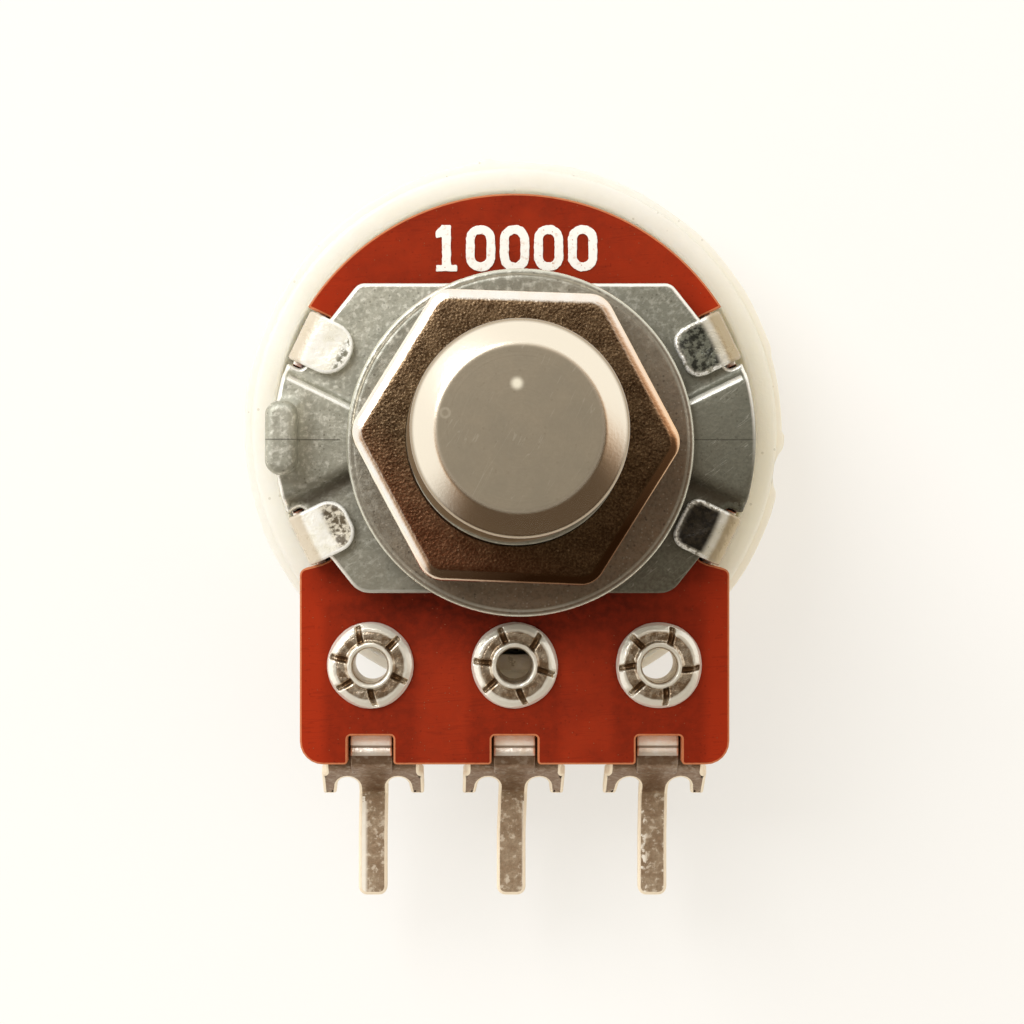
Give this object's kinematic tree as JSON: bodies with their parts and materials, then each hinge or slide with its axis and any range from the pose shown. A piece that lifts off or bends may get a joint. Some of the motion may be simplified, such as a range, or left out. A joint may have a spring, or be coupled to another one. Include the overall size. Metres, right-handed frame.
{
  "type": "rotary potentiometer",
  "caption": "Panel-mounted variable resistor with a threaded bushing, a round shaft, a phenolic board, riveted board pins, a pressed steel case and a plastic dust cover.",
  "frame": {"origin": "centre of the flat back on which the part stands, on the axis of the shaft", "axes": "+Z along the shaft towards its free end, -Y towards the board pins, +X to the right seen from the shaft end with the pins down"},
  "size_m": [0.0194, 0.0263, 0.0299],
  "materials": {
    "zinc_casting": "as-cast zinc, dull grey",
    "nut_nickel": "nickel plated, bright edges",
    "washer_zinc": "zinc plated, dull",
    "shaft_metal": "turned, fine matt",
    "spring_steel": "dark spring steel",
    "bronze": "phosphor bronze",
    "phenolic": "paper phenolic laminate, red-brown",
    "print_ink": "white screen print",
    "carbon_ink": "black carbon ink",
    "silver_ink": "silver ink",
    "tin_plate": "bright tinned steel",
    "rotor_plastic": "black moulding",
    "milky_plastic": "translucent milky polyethylene"
  },
  "bodies": {
    "housing": {"bushing_plate": "zinc_casting", "mounting_nut": "nut_nickel", "mounting_washer": "washer_zinc", "phenolic_board": "phenolic", "value_print": "print_ink", "carbon_track": "carbon_ink", "collector_track": "silver_ink", "end_pad_left": "silver_ink", "end_pad_right": "silver_ink", "eyelet_left": "tin_plate", "eyelet_middle": "tin_plate", "eyelet_right": "tin_plate", "terminal_left": "tin_plate", "terminal_middle": "tin_plate", "terminal_right": "tin_plate", "rear_case": "tin_plate", "dust_cover": "milky_plastic"},
    "shaft_assembly": {"shaft": "shaft_metal", "thrust_washer": "bronze", "retaining_ring": "spring_steel", "rotor": "rotor_plastic", "wiper_spring": "bronze"}
  },
  "joints": [
    {"name": "shaft_turn", "type": "hinge", "parent": "housing", "child": "shaft_assembly", "pos_m": [0, 0, 0.012], "axis": [0, 0, 1], "range_deg": [-150, 150]}
  ]
}
